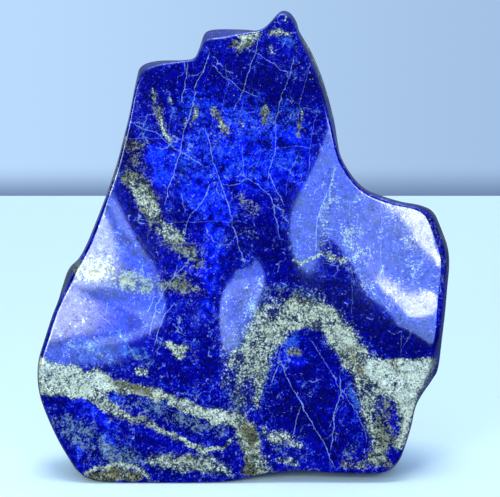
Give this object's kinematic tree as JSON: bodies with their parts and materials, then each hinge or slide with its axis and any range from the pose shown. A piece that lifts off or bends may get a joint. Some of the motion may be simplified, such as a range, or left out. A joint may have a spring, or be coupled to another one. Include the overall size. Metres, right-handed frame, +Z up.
{
  "type": "polished lapis lazuli freeform",
  "caption": "Thick upright slab of polished lapis lazuli with a free outline, a stepped top, a lobe at the right and a sawn foot to stand on.",
  "frame": {"origin": "middle of the bounding box's underside, on the surface that the sawn foot stands on", "axes": "+Z up, +X to the right as seen from the front, the polished front face looks towards -Y and leans back 5 degrees"},
  "size_m": [0.1724, 0.048, 0.1919],
  "materials": {
    "polished_lapis": "polished stone: deep ultramarine with pale calcite bands, thin pale veins and fine pyrite specks"
  },
  "bodies": {
    "root": {"lapis_stone": "polished_lapis"}
  },
  "joints": []
}
